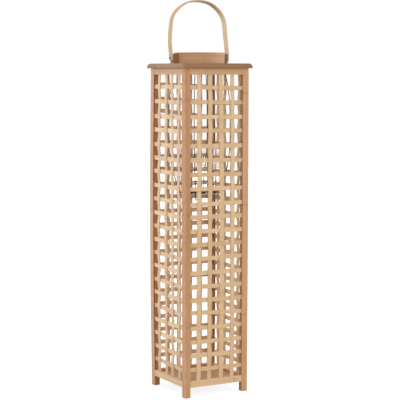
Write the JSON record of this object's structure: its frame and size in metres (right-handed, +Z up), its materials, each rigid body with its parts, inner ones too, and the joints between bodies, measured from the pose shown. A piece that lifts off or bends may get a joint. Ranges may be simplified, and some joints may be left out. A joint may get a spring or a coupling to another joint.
{
  "type": "bamboo floor lantern",
  "caption": "Tall square candle lantern of woven split bamboo with a lattice case, a round collar, a swinging bail handle and a clear glass cylinder in a wire cradle.",
  "frame": {"origin": "middle of the footprint, on the plane that the four feet stand on", "axes": "+Z up along the posts; X along the handle's pivot axis; -Y is the front panel"},
  "size_m": [0.218, 0.218, 1.0925],
  "materials": {
    "post_bamboo": "smooth oiled bamboo, warm brown",
    "rail_bamboo": "smooth oiled bamboo, straw brown",
    "slat_bamboo": "split bamboo strip, satin, straw",
    "board_bamboo": "carbonised bamboo board, satin",
    "hoop_bamboo": "bent bamboo strip, satin, streaked along",
    "handle_bamboo": "bent bamboo strip, satin, pale",
    "pin_steel": "dark blued steel",
    "cradle_wire": "drawn steel wire, dull grey",
    "clear_glass": "clear, faint green at the thick base"
  },
  "bodies": {
    "case": {"post_front_left": "post_bamboo", "post_front_right": "post_bamboo", "post_back_right": "post_bamboo", "post_back_left": "post_bamboo", "bottom_rail_front": "rail_bamboo", "top_rail_front": "rail_bamboo", "cross_slats_front": "slat_bamboo", "upright_slats_front": "slat_bamboo", "bottom_rail_right": "rail_bamboo", "top_rail_right": "rail_bamboo", "cross_slats_right": "slat_bamboo", "upright_slats_right": "slat_bamboo", "bottom_rail_back": "rail_bamboo", "top_rail_back": "rail_bamboo", "cross_slats_back": "slat_bamboo", "upright_slats_back": "slat_bamboo", "bottom_rail_left": "rail_bamboo", "top_rail_left": "rail_bamboo", "cross_slats_left": "slat_bamboo", "upright_slats_left": "slat_bamboo", "floor_board": "board_bamboo", "top_board": "board_bamboo", "board_dowels": "rail_bamboo", "collar_hoop": "hoop_bamboo", "handle_lug_right": "hoop_bamboo", "handle_lug_left": "hoop_bamboo", "pivot_pin_right": "pin_steel", "pivot_pin_left": "pin_steel", "cradle_top_ring": "cradle_wire", "cradle_base_ring": "cradle_wire", "cradle_wire_lower": "cradle_wire", "cradle_wire_upper": "cradle_wire"},
    "handle": {"bail_handle": "handle_bamboo"},
    "glass": {"glass_cylinder": "clear_glass"}
  },
  "joints": [
    {"name": "handle_swing", "type": "hinge", "parent": "case", "child": "handle", "pos_m": [0, 0, 0.9333], "axis": [1, 0, 0], "range_deg": [-93, 93]},
    {"name": "glass_lift", "type": "slide", "parent": "case", "child": "glass", "axis": [0, 0, 1], "range_m": [0, 0.375]}
  ]
}
